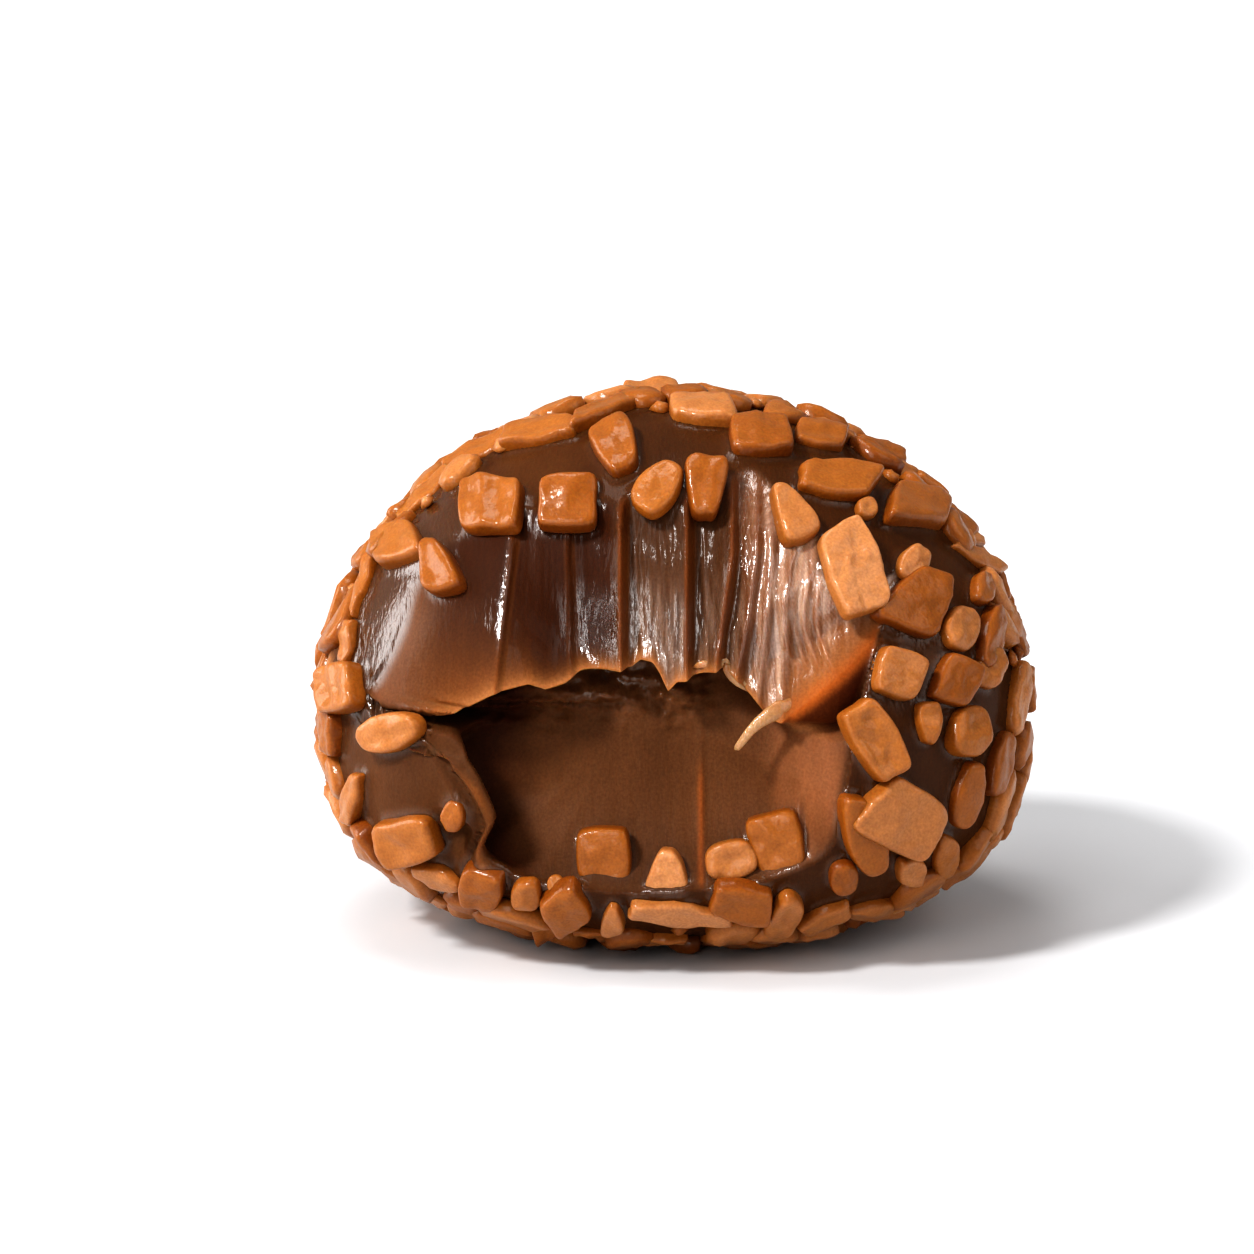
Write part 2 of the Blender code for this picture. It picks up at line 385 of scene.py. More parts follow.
# The studio: the table, the sun and four soft panels, each with its place, width, height and power.
TABLE_HALF = 3.0
TABLE_WHITE = (0.62, 0.62, 0.63, 1)
SUN_ENERGY = 2.7
SUN_ANGLE = math.radians(10)
SUN_PLACE = (-0.76, -0.65, 1.0)
PANELS = {
    "side_panel": ((-1.0, 0.25, 0.3), 0.7, 0.7, 7.5),
    "top_panel": ((-0.15, 0.2, 1.0), 0.4, 0.4, 2.6),
    "fill_panel": ((0.9, -0.35, 0.7), 1.0, 1.0, 4.2),
    "front_panel": ((-0.35, -1.0, 0.45), 0.4, 1.0, 4.2),
}
PANEL_TARGET = (0, 0, 0.01)
ROOM_LIGHT = 0.25
SENSOR_WIDTH = 36.0


def smooth(value):
    """0 below 0, 1 above 1, and an S-curve between."""
    value = min(max(value, 0.0), 1.0)
    return value * value * (3 - 2 * value)


def bump(distance, width):
    """1 at no distance, falling smoothly to about nothing past twice the width."""
    return math.exp(-((distance / width) ** 2))


def new_piece(name, bm, material):
    """A finished piece from a bmesh in metres, riding on the one body."""
    mesh = bpy.data.meshes.new(name)
    bm.to_mesh(mesh)
    bm.free()
    mesh.shade_smooth()
    piece = bpy.data.objects.new(name, mesh)
    bpy.context.scene.collection.objects.link(piece)
    mesh.materials.append(material)
    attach(piece, "root")
    return piece


# ---------------------------------------------------------------- the ball and its sight lines


def fullness(point, sink):
    """Under 1 inside the ball, 1 on its skin and over 1 outside."""
    height, power = (DOME, DOME_POWER) if point.z > WIDEST_Z else (BOWL, BOWL_POWER)
    across = abs(point.x / (HALF_WIDTH - sink)) ** PLAN_POWER
    deep = abs(point.y / (HALF_DEPTH - sink)) ** PLAN_POWER
    plan = (across + deep) ** (power / PLAN_POWER)
    return (plan + abs((point.z - WIDEST_Z) / (height - sink)) ** power) ** (1 / power)


def skin_point(direction, sink):
    """The skin's point in a direction from the middle of the ball's widest level."""
    middle = Vector((0.0, 0.0, WIDEST_Z))
    point = middle + direction / fullness(middle + direction, sink)
    point.z = max(point.z, 0.0)
    return point


def skin_normal(point, sink):
    """The way out of the skin at a point."""
    step = 0.01
    slope = [
        fullness(point + axis * step, sink) - fullness(point - axis * step, sink)
        for axis in (Vector((1, 0, 0)), Vector((0, 1, 0)), Vector((0, 0, 1)))
    ]
    return Vector(slope).normalized()


def skin_front(x, z, sink):
    """Y of the ball's front skin at a place, and level past its outline."""
    height, power = (DOME, DOME_POWER) if z > WIDEST_Z else (BOWL, BOWL_POWER)
    level = max(1 - min(abs((z - WIDEST_Z) / (height - sink)), 1.0) ** power, 0.02) ** (1 / power)
    across = min(abs(x / ((HALF_WIDTH - sink) * level)), 1.0)
    return -(HALF_DEPTH - sink) * level * max(1 - across**PLAN_POWER, 0.02) ** (1 / PLAN_POWER)


def sight_line(across, up):
    """The way from the eye through a place on the front view."""
    place = Vector((across, 0, 0)) + UPRIGHT * up + SIGHT * AIM.dot(SIGHT)
    return (place - EYE).normalized()


def seen_at_depth(across, up, y):
    """The point on the sight line through a place, at a depth."""
    way = sight_line(across, up)
    return EYE + way * ((y - EYE.y) / way.y)


def seen_on_skin(across, up, sink):
    """Where the sight line through a place meets the skin, or passes nearest to it."""
    way = sight_line(across, up)
    near = EYE_DISTANCE - SEARCH_REACH
    best = min((fullness(EYE + way * (near + SEARCH_STEP * i), sink), i) for i in range(SEARCH_STEPS))
    for i in range(best[1] + 1):
        if fullness(EYE + way * (near + SEARCH_STEP * i), sink) <= 1:
            return EYE + way * (near + SEARCH_STEP * (i - 0.5))
    nearest = EYE + way * (near + SEARCH_STEP * best[1])
    middle = Vector((0.0, 0.0, WIDEST_Z))
    return middle + (nearest - middle) / fullness(nearest, sink)


# ---------------------------------------------------------------- the bite


def spline(values, share):
    """A smooth value between the middle two of four, at a share from the second to the third."""
    before, start, end, after = values
    slope_start, slope_end = (end - before) / 2, (after - start) / 2
    square, cube = share * share, share * share * share
    return (
        start * (2 * cube - 3 * square + 1)
        + slope_start * (cube - 2 * square + share)
        + end * (3 * square - 2 * cube)
        + slope_end * (cube - square)
    )


def rim_tables():
    """For each degree round the rim's middle: the rim's distance, its steepness and its ease."""
    corners = []
    for across, up, steep, ease in RIM:
        point = seen_on_skin(across, up, FLAKE_SINK)
        x, z = point.x - RIM_MIDDLE[0], point.z - RIM_MIDDLE[1]
        corners.append((math.degrees(math.atan2(z, x)) % 360, math.hypot(x, z), steep, ease))
    corners.sort()
    before = [(corner[0] - 360, *corner[1:]) for corner in corners[-2:]]
    after = [(corner[0] + 360, *corner[1:]) for corner in corners[:2]]
    turned = before + corners + after
    table = []
    at = 1
    for degree in range(361):
        while turned[at + 1][0] < degree and at < len(corners) + 1:
            at += 1
        share = (degree - turned[at][0]) / (turned[at + 1][0] - turned[at][0])
        distance = spline([turned[i][1] for i in range(at - 1, at + 3)], share)
        steep, ease = (turned[at][i] * (1 - share) + turned[at + 1][i] * share for i in (2, 3))
        table.append((distance, steep, ease))
    return table


def ledge_table():
    """The ledge's height for each tenth of a millimetre across, a row each."""
    points = [seen_at_depth(across, up, LEDGE_Y) for across, up in LEDGE]
    heights = []
    at = 0
    for tenth in range(-180, 125):
        x = tenth / 10
        while at < len(points) - 2 and points[at + 1].x < x:
            at += 1
        share = min(max((x - points[at].x) / (points[at + 1].x - points[at].x), 0.0), 1.0)
        heights.append([points[at].z + (points[at + 1].z - points[at].z) * share])
    return heights


RIM_TABLE = rim_tables()
LEDGE_HEIGHTS = ledge_table()
NUB = seen_on_skin(-16.9, 12.1, FLAKE_SINK)


def between(table, place):
    """A table's values at a place between two of its rows."""
    place = min(max(place, 0.0), len(table) - 1.001)
    low = int(place)
    part = place - low
    return [a * (1 - part) + b * part for a, b in zip(table[low], table[low + 1])]


def rim_at(x, z):
    """A place's share of the way from the bite's middle to its rim, and its fall from the rim, 0 to 1."""
    x, z = x - RIM_MIDDLE[0], z - RIM_MIDDLE[1]
    distance, steep, ease = between(RIM_TABLE, math.degrees(math.atan2(z, x)) % 360)
    share = math.hypot(x, z) / distance
    return share, max(1 - share**steep, 0.0) ** ease


def ledge_height(x):
    return between(LEDGE_HEIGHTS, (x + 18.0) * 10)[0]


def tooth_edges(above):
    """Each tooth edge's place across and its step's height, at a height above the ledge."""
    drop = 1 - min(max(above / TOOTH_HEIGHT, 0.0), 1.0)
    return [(top + (low - top) * drop, step) for top, low, step in TOOTH_EDGES]


def tooth_marks(x, above):
    """How far the scraped fudge stands out between tooth edges, at a height above the ledge."""
    edges = tooth_edges(above)
    for (left, fallen), (right, step) in zip(edges, edges[1:]):
        if left <= x < right:
            share = (x - left) / (right - left)
            return step * share**2.2 + fallen * (1 - smooth((x - left) / TOOTH_DROP))
    return 0.0


def tooth_wall(x, above):
    """1 on the steep side of a tooth mark, and 0 between the marks."""
    wall = 0.0
    for edge, step in tooth_edges(above):
        here = smooth((x - edge + 0.15) / 0.1) * smooth((TOOTH_DROP + 0.1 - x + edge) / 0.15)
        wall = max(wall, min(step, 1.0) * here)
    return wall


def tooth_crest(x, above):
    """1 along the edge of a tooth mark, where the fudge stands out the most."""
    return max(min(step * 2, 1.0) * bump(x - edge + 0.08, 0.13) for edge, step in tooth_edges(above))


def arc_marks(x, z):
    """Curved ridges round the large flake."""
    away = math.hypot(x - ARC_MIDDLE[0], z - ARC_MIDDLE[1])
    hold = smooth((8.8 - x) / 1.0) * smooth((z - 14.8) / 1.5)
    return hold * sum(height * bump(away - radius, width) for radius, height, width in ARCS)


def striations(x, z):
    """Fine upright drag lines."""
    broad = noise.noise(Vector((x * 1.6, z * 0.2, 3.1)))
    middle = noise.noise(Vector((x * 3.2, z * 0.35, 8.7)))
    fine = noise.noise(Vector((x * 5.5, z * 0.8, 5.2)))
    return 0.06 * broad + 0.05 * middle + 0.05 * fine


def upper_surface(x, z, above):
    """How deep under the skin the upper scrape is, ledge included."""
    _, fall = rim_at(x, z)
    hold = 1 - math.exp(-3 * fall)
    depth = UPPER_DEPTH * fall * (1 - SHOULDER_RISE * smooth((SHOULDER_X - x) / SHOULDER_WIDTH))
    depth *= 1 - (1 - TOP_DEPTH_SHARE) * smooth(above / TOOTH_HEIGHT)
    lip = LIP_REACH * (1 - math.exp(-depth / 2)) * math.exp(-above / LIP_RISE) * (1 - fold_share(x))
    fold = FOLD_REACH * fold_share(x) * bump(above, FOLD_RISE) * hold
    rough = 0.45 + 0.75 * smooth((x + 6.5) / 4)
    rough *= 1 - 0.9 * fold_share(x) * bump(above, FOLD_RISE)
    relief = (tooth_marks(x, above) + rough * striations(x, z) + arc_marks(x, z)) * hold
    return depth - lip - fold - relief


def fold_share(x):
    """How much of the thick fold there is across the bite: none at its left, and none past the rim."""
    return smooth((x - FOLD_START) / FOLD_WIDENS) * smooth((FOLD_END - x) / 1.2)


def lower_surface(x, z, below):
    """How deep under the skin the lower scrape is, with the hollow under the ledge."""
    _, fall = rim_at(x, z)
    hold = 1 - math.exp(-3 * fall)
    hollow = UNDERCUT * smooth((FOLD_START + 2 - x) / 2) * hold + FOLD_HOLLOW * fold_share(x)
    hollow *= math.exp(-below / 2.2)
    folds = 0.5 * smooth((x - 4.4) / 1.4) * smooth((6.3 - x) / 0.4) + 0.5 * bump(x - 7.6, 0.6)
    folds *= smooth((9.8 - z) / 1.5)
    crest = 0.15 * bump(x - 1.2, 0.2) * bump(z - 9.0, 3.0)
    lumps = noise.noise(Vector((x * 0.9, z * 1.7, 4.4)))
    lumps += 0.5 * noise.noise(Vector((x * 2.1, z * 3.5, 6.1)))
    torn = 0.7 * lumps * bump(below - 0.8, 1.0) * smooth((3.0 - x) / 2)
    relief = (0.3 * striations(x, z) + folds + crest + torn) * hold
    return LOWER_DEPTH * fall + hollow - relief


def bare_swell(point):
    """How far the bare fudge swells out of the skin: the lobe below the ledge and the nub at its end."""
    lobe = 0.5 * bump(math.hypot((point.x + 12.6) / 3.4, (point.z - 8.8) / 3.6), 1.0)
    nub = 0.8 * bump((point - NUB).length, 1.5)
    return lobe * smooth((-2 - point.y) / 4) + nub


def lobe_roll(x, z, share):
    """The rolled edge of the lobe beside the bite, and the dimple round its small flake."""
    beside = smooth((-8.0 - x) / 1.5) * smooth((12.0 - z) / 1.5) * smooth((z - 3.5) / 2)
    roll = sum(height * bump(share - place, width) for place, height, width in LOBE_ROLLS)
    dimple = 1.1 * bump(math.hypot(x + 10.9, z - 7.0), 1.0)
    return roll * beside - dimple


class Spot:
    """One spot of the fudge's surface: its place, and what it looks like."""

    def __init__(self, place, tint=BARE_FUDGE, gloss=0.12, bare=1.0):
        self.place = place
        self.tint = tint
        self.gloss = gloss
        self.bare = bare


def core_spot(direction):
    """The fudge's surface in a direction, bite included."""
    point = skin_point(direction, FLAKE_SINK)
    wave = 0.09 * noise.noise(point * 0.45)
    if point.y > -1:
        return Spot(point + skin_normal(point, FLAKE_SINK) * (wave + bare_swell(point)))
    x, front = point.x, smooth((-1 - point.y) / 4)
    share, _ = rim_at(x, point.z)
    line = ledge_height(x)
    above = point.z - LEDGE_ROW
    hold = smooth((1.25 - share) / 0.25) * front
    z = point.z + (line - LEDGE_ROW) * bump(above, LEDGE_PULL) * hold
    fold = smooth((x - FOLD_START) / 1.2)
    thick = FOLD_THICKNESS * smooth((x - FOLD_START) / FOLD_WIDENS)
    underside = UNDERSIDE + thick
    tuck = UNDERSIDE_TUCK * (1 - fold) * smooth((x + 14.0) / 3)
    back = smooth((-above - thick) / UNDERSIDE) if share < 1 else 1.0
    if above < 0:
        rows = min(-above, underside) * smooth((4.0 + above) / (4.0 - underside))
        inner = hold * smooth((1.02 - share) / 0.12)
        z += (tuck * rows + 0.3 * math.sin(math.pi * back) * (1 - fold)) * inner
    depth = 0.0
    if share < 1 and above >= 0:
        depth = max(upper_surface(x, z, above), 0.0)
    elif share < 1:
        round_share = min(-above / thick, 1.0) if thick > 0.1 else 0.0
        roll = FOLD_ROLL * thick / FOLD_THICKNESS * (1 - math.sqrt(1 - round_share**2))
        lip = upper_surface(x, line, 0.0) + roll
        lower = lower_surface(x, z, max(-above - underside, 0.0))
        depth = max(lip * (1 - back) + lower * back, 0.0)
    skin = Vector((x, min(skin_front(x, z, FLAKE_SINK), point.y + 6), z)).lerp(point, 1 - hold)
    swell = bare_swell(skin)
    shut = 1 - smooth(depth / 0.8)
    bulge = swell + wave + lobe_roll(x, z, share) * front
    place = skin + skin_normal(skin, FLAKE_SINK) * bulge * shut
    place.y += depth
    place.x -= OVERHANG * smooth((-5.5 - x) / 3) * smooth((12.5 - z) / 1.5) * smooth(depth / 3)
    return finish_spot(place, x, z, share, above, swell, fold, thick)


def finish_spot(place, x, z, share, above, swell, fold, thick):
    """A spot on the front with its tint, its gloss and whether it is bare."""
    inside = smooth((1.0 - share) / 0.05)
    wall = tooth_wall(x, above) * inside * smooth(above / UPPER_STARTS)
    tint = scrape_tint(x, z, above, inside, wall, fold)
    lobe = smooth((swell - 0.06) / 0.15)
    tint = tint.lerp(LOBE_FUDGE, lobe)
    rolled = smooth((-8.0 - x) / 1.5) * smooth((11.0 - z) / 1.5) * smooth((z - 3.5) / 2)
    tint = tint.lerp(TAN, 0.6 * rolled * bump(share - 1.03, 0.02))
    tint = ledge_tint(tint, x, above, inside, fold, thick)
    tint = tint.lerp(PALE_TAN, smooth((swell - 0.5) / 0.2) * (x < -14))
    gloss = fudge_gloss(x, above, inside, wall, fold)
    gloss += (1 - inside) * (0.06 + 0.5 * smooth((-9.0 - x) / 3)) * (1 - lobe)
    return Spot(place, tint, gloss, 1 - inside)


def scrape_tint(x, z, above, inside, wall, fold):
    """The bitten fudge's tint away from the ledge: streaks of painted sheen and painted light above it,
    painted shade on its left, painted light on its right below it and darker towards the bottom.
    """
    upper = smooth(above / UPPER_STARTS)
    lower = inside * (1 - upper)
    tint = BARE_FUDGE.lerp(SMOOTH_FUDGE, inside).lerp(TORN_FUDGE, lower)
    # Painted light on the right of the lower scrape, in streaks.
    folds = 0.75 + 0.7 * noise.noise(Vector((x * 1.3, z * 0.15, 2.2)))
    tint = tint.lerp(PAINTED_LIGHT_FUDGE, lower * min(smooth((x - 2.5) / 5) * folds, 1.0))
    # Darker towards the bottom of the lower scrape: painted shade.
    tint = tint.lerp(SMOOTH_FUDGE, lower * 0.8 * smooth((8.5 - z) / 4))
    # Painted shade on the left of the bitten fudge, above and below the ledge.
    painted_shade = upper * smooth((-2.6 - x) / 0.8) + (1 - upper) * smooth((-6.0 - x) / 2)
    tint = tint.lerp(PAINTED_SHADE_FUDGE, inside * painted_shade * smooth((x + 13.0) / 2))
    # Painted light on the right of the upper scrape.
    tint = tint.lerp(PAINTED_LIGHT_FUDGE, inside * upper * smooth((x - 2.5) / 2) * 0.8)
    # Streaks of painted sheen on the upper scrape, less near the fold.
    lines = 0.5 + noise.noise(Vector((x * 7.0, z * 0.5, 1.7)))
    sheen = 0.3 * smooth((x + 2.6) / 0.8) * smooth((6.0 - above) / 3) + 0.9 * smooth((x - 3.2) / 1.5)
    sheen *= 1 - fold * bump(above, 2.2)
    tint = tint.lerp(PAINTED_SHEEN_FUDGE, inside * upper * sheen * min(max(lines, 0.0), 1.0))
    # Painted light at the far left of the upper scrape.
    tint = tint.lerp(PAINTED_LIGHT_FUDGE, inside * upper * smooth((-11.3 - x) / 3) * 0.5)
    tint = tint.lerp(WALL_FUDGE, 0.9 * wall)
    return tint.lerp(AMBER, 0.5 * lower * bump(x - 1.2, 0.15) * smooth((11 - z) / 2))


def ledge_tint(tint, x, above, inside, fold, thick):
    """A tint turned tan towards the thin ledge and along the fold, as painted glow of light through the
    thin fudge, and amber to deep red on the fold's underside, painted glow turning to painted shade.
    """
    if above >= 0:
        # A tan band along the thin ledge, wider on the fold: painted glow of light through the thin fudge.
        band = 0.35 + 1.3 * smooth((-5.5 - x) / 5) + 2.0 * fold
        tint = tint.lerp(TAN, inside * 0.9 * math.exp(-above / band) * smooth((x + 14.0) / 3))
        # Paler still at the ledge's thinnest edge: painted glow.
        thinnest = inside * 0.8 * math.exp(-above / 0.3) * smooth((x + 13.0) / 3) * (1 - fold)
        tint = tint.lerp(PALE_TAN, thinnest)
        # Amber on the fold near the ledge: painted glow of light through the fold.
        return tint.lerp(AMBER, inside * 0.8 * fold * smooth((0.9 - above) / 0.9))
    # Tan just under the thin ledge: painted glow of light through it.
    tint = tint.lerp(TAN, inside * math.exp(above / 0.25) * (1 - fold) * smooth((x + 14.0) / 3))
    under_fold = inside * fold * (1 - smooth((-above - thick) / 0.5))
    # Under the fold, amber as painted glow turns to deep red as painted shade.
    deep = 0.85 * smooth((-0.1 - above) / 0.8) * smooth((x - 4.8) / 1.2) + 0.15 * smooth((x - 7.0) / 3)
    tint = tint.lerp(AMBER.lerp(PAINTED_SHADE_RED, deep), under_fold)
    fold_edge = inside * fold * bump(-above - thick - 0.3, 0.3)
    return tint.lerp(PALE_TAN, fold_edge * 0.5 * smooth((8.0 - x) / 2))


def fudge_gloss(x, above, inside, wall, fold):
    """How wet the bitten fudge looks: most between tooth marks, least at the ledge and on the fold."""
    upper = smooth(above / UPPER_STARTS)
    gloss = inside * upper * (0.03 + 0.97 * smooth((x + 6.3) / 2.5)) * (1 - 0.9 * fold * bump(above, 3.8))
    gloss *= (1 - 0.85 * wall) * (1 - 0.9 * smooth((x - 3.4) / 1.2) * smooth((3.0 - above) / 2))
    gloss *= 0.08 + 0.92 * smooth((above - 0.3) / 1.3)
    gloss *= 1 - 0.94 * smooth((above - 3.0) / 2.3) * smooth((3.5 - x) / 1.5)
    crest = tooth_crest(x, above) * inside * smooth((above - 1.5) / 1.5) * smooth((-6.0 - x) / 0.5)
    gloss = max(gloss, 0.8 * crest)
    return gloss + 0.5 * inside * (1 - upper) * bump(above + 1.4, 0.5) * bump(x + 3.0, 1.6)


def build_fudge():
    """The fudge core: a cube blown up to the ball, finer on the front and finest in the bite."""
    bm = bmesh.new()
    bmesh.ops.create_cube(bm, size=2.0)
    bmesh.ops.subdivide_edges(bm, edges=bm.edges[:], cuts=CORE_CELLS - 1, use_grid_fill=True)
    finer = {BITE_CUTS: [], FRONT_CUTS: []}
    for face in bm.faces:
        middle = face.calc_center_median()
        if middle.y > 0:
            continue
        spot = skin_point(blown_up(middle), FLAKE_SINK)
        in_bite = middle.y < -0.99 and rim_at(spot.x, spot.z)[0] < 1.06
        finer[BITE_CUTS if in_bite else FRONT_CUTS].append(face)
    for cuts, faces in finer.items():
        edges = list(dict.fromkeys(edge for face in faces for edge in face.edges))
        bmesh.ops.subdivide_edges(bm, edges=edges, cuts=cuts, use_grid_fill=True)
    tint = bm.verts.layers.float_color.new("tint")
    gloss = bm.verts.layers.float.new("gloss")
    bare = bm.verts.layers.float.new("bare")
    for vert in bm.verts:
        spot = core_spot(blown_up(vert.co))
        vert.co = spot.place
        vert[tint] = (*spot.tint, 1)
        vert[gloss] = spot.gloss
        vert[bare] = spot.bare
    bmesh.ops.triangulate(bm, faces=[face for face in bm.faces if len(face.verts) > 4])
    drop_doubled_faces(bm)
    return bm


def drop_doubled_faces(bm):
    """Removes each pair of faces that share all their corners."""
    known = {}
    doubled = []
    for face in bm.faces:
        corners = frozenset(face.verts)
        if corners in known:
            doubled += [face, known[corners]]
        known[corners] = face
    bmesh.ops.delete(bm, geom=doubled, context="FACES")


def blown_up(spot):
    """The direction from the middle for a spot on a cube, with the cells kept even."""
    return Vector([math.tan(side * math.pi / 4) for side in spot]).normalized()


def wet_flakes(core, flakes):
    """Raises the fudge a little where it clings to the flakes, and makes it wet there."""
    tree = BVHTree.FromBMesh(flakes)
    bare = core.verts.layers.float["bare"]
    gloss = core.verts.layers.float["gloss"]
    core.normal_update()
    for vert in core.verts:
        _, _, _, away = tree.find_nearest(vert.co, MENISCUS_REACH * 2)
        if away is not None:
            vert.co += vert.normal * MENISCUS * bump(away, MENISCUS_REACH) * vert[bare]
            vert[gloss] = max(vert[gloss], bump(away, MENISCUS_REACH) * WET_GLOSS)


# ---------------------------------------------------------------- torn strands


def add_strand(bm, template, core, places, tint):
    """Adds a torn strand, hung from the fudge where it starts. Places: across, up, width, forward."""
    start = core.ray_cast(EYE, sight_line(*places[0][:2]))[0]
    middles = [seen_at_depth(across, up, start.y - forward) for across, up, _, forward in places]
    widths = [width for _, _, width, _ in places]
    first = len(bm.verts)
    bm.from_mesh(template)
    bm.verts.ensure_lookup_table()
    for vert in bm.verts[first:]:
        along = (vert.co.x + 1) / 2 * (len(places) - 1)
        at = min(int(along), len(places) - 2)
        share = along - at
        row = [min(max(at + i, 0), len(places) - 1) for i in (-1, 0, 1, 2)]
        middle = spline([middles[i] for i in row], share)
        ahead = (middles[at + 1] - middles[at]).normalized()
        side = SIGHT.cross(ahead).normalized()
        width = widths[at] * (1 - share) + widths[at + 1] * share
        width *= math.sqrt(max(1 - abs(vert.co.x) ** 8, 0.05))
        round_y, round_z = vert.co.y, vert.co.z
        outward = max(abs(round_y), abs(round_z))
        length = math.hypot(round_y, round_z)
        if length > 1e-6:
            round_y, round_z = round_y * outward / length, round_z * outward / length
        vert.co = middle + side * round_y * width / 2 + SIGHT * round_z * width * STRAND_FLATNESS / 2
        vert[tint] = (*PALE_TAN.lerp(CREAM, smooth((along - 0.5) / 2)), 1)


def build_strands(core):
    """The torn strands along the ledge, all tan and thin."""
    tree = BVHTree.FromBMesh(core)
    template = flake_template(FRONT_FLAKE_CELLS)
    bm = bmesh.new()
    tint = bm.verts.layers.float_color.new("tint")
    gloss = bm.verts.layers.float.new("gloss")
    for places in STRANDS:
        add_strand(bm, template, tree, places, tint)
    for vert in bm.verts:
        vert[gloss] = 0.3
    return bm


# ---------------------------------------------------------------- the flakes


def flake_template(cells):
    """A cube with the cells of one flake."""
    bm = bmesh.new()
    bmesh.ops.create_cube(bm, size=2.0)
    bmesh.ops.subdivide_edges(bm, edges=bm.edges[:], cuts=cells - 1, use_grid_fill=True)
    mesh = bpy.data.meshes.new("flake_template")
    bm.to_mesh(mesh)
    bm.free()
    return mesh


def flake_shape(spot, wide, tall, thick, form, seed):
    """A spot of the cube moved to its place on a rounded flake that lies flat, facing +Z."""
    taper, skew, squareness, _, _ = FORMS[form]
    outward = max(abs(spot.x), abs(spot.y))
    flat = Vector((spot.x, spot.y))
    if outward > 1e-6:
        flat *= outward / (abs(spot.x) ** squareness + abs(spot.y) ** squareness) ** (1 / squareness)
    corner = Vector((0.0, 0.0))
    for i, (right, top) in enumerate(((-1, -1), (1, -1), (1, 1), (-1, 1))):
        share = (1 + right * flat.x) * (1 + top * flat.y) / 4
        shift = Vector([noise.noise(Vector((seed * 7.3, i * 5.1, level))) for level in (0.5, 9.3)])
        corner += shift * share * CORNER_SHIFT * 2
    flat += corner
    round_edge = min(FLAKE_EDGE, wide / 3, tall / 3)
    angle = spot.z * math.pi / 2
    height = math.copysign(abs(math.sin(angle)) ** SIDE_FULLNESS, angle) * thick / 2
    x = flat.x * (wide / 2 - round_edge)
    y = flat.y * (tall / 2 - round_edge)
    length = math.hypot(x, y)
    if length > 1e-6 and outward > 0.999:
        reach_out = max(math.cos(angle), 0.0) ** SIDE_FULLNESS * round_edge
        x += x / length * reach_out
        y += y / length * reach_out
    narrow = 1 - taper * (0.5 + y / tall)
    wave = noise.noise(Vector((flat.x * 1.5, flat.y * 1.5, seed)))
    x = x * narrow * (1 + 0.06 * wave) + skew * y
    y = y * (1 + 0.06 * noise.noise(Vector((flat.x * 1.5, seed, flat.y * 1.5))))
    upper = 1.0 if spot.z > 0 else 0.3
    dent = 0.16 * noise.noise(Vector((x * 0.9, y * 0.9, seed * 3)))
    dent += 0.11 * noise.noise(Vector((x * 1.9, y * 1.9, seed * 3)))
    if form == "ribbed":
        dent += 0.1 * math.cos((x + 0.2) * 2 * math.pi / 1.75)
    if "dished" in form:
        dent -= 0.3 * (1 - min(outward, 1.0) ** 2) * (0.6 + noise.noise(Vector((x * 1.2, y * 1.2, seed))))
    if form == "large":
        dent += 0.14 * bump(math.hypot(x - 0.1, y + 0.1) - 0.6, 0.13) * smooth((y + 0.3) / 0.5)
        dent -= 0.1 * bump(x + 0.3, 0.15) * smooth((-0.2 - y) / 0.4)
    curl = -(x * x + y * y) / 60
    return Vector((x, y, height + dent * upper + curl))


def add_flake(bm, template, place, size, form, seed, shade, layer):
    """Adds one flake. place is its matrix, and size is wide, tall and thick."""
    first = len(bm.verts)
    bm.from_mesh(template)
    bm.verts.ensure_lookup_table()
    for vert in bm.verts[first:]:
        # The sides are painted darker than the face: painted shade.
        side = smooth((0.55 - vert.co.z) / 0.4)
        vert.co = place @ flake_shape(vert.co, *size, form, seed)
        vert[layer] = FACE_SHADE + (1 - FACE_SHADE) * shade - PAINTED_SIDE_SHADE * side


def flake_place(point, normal, turn, lift):
    """The matrix that lays a flake on a point of the skin, its top edge up before the turn."""
    across = Vector((0, 0, 1)).cross(normal)
    if across.length < 0.1:
        across = Vector((1, 0, 0))
    across.normalize()
    up = normal.cross(across)
    turned = Matrix.Rotation(turn, 3, normal)
    axes = Matrix((turned @ across, turned @ up, normal)).transposed().to_4x4()
    return Matrix.Translation(point + normal * lift) @ axes


def seen_place(point, normal, turn, lift):
    """The matrix that lays a flake on the skin so that its sides keep their size and turn as seen."""
    sides = []
    for angle in (turn, turn + math.pi / 2):
        flat = Vector((math.cos(angle), 0, 0)) + UPRIGHT * math.sin(angle)
        laid = flat - SIGHT * (flat.dot(normal) / SIGHT.dot(normal))
        sides.append(laid * min(MOST_STRETCH / laid.length, 1.0))
    axes = Matrix((*sides, normal)).transposed().to_4x4()
    return Matrix.Translation(point + normal * lift) @ axes


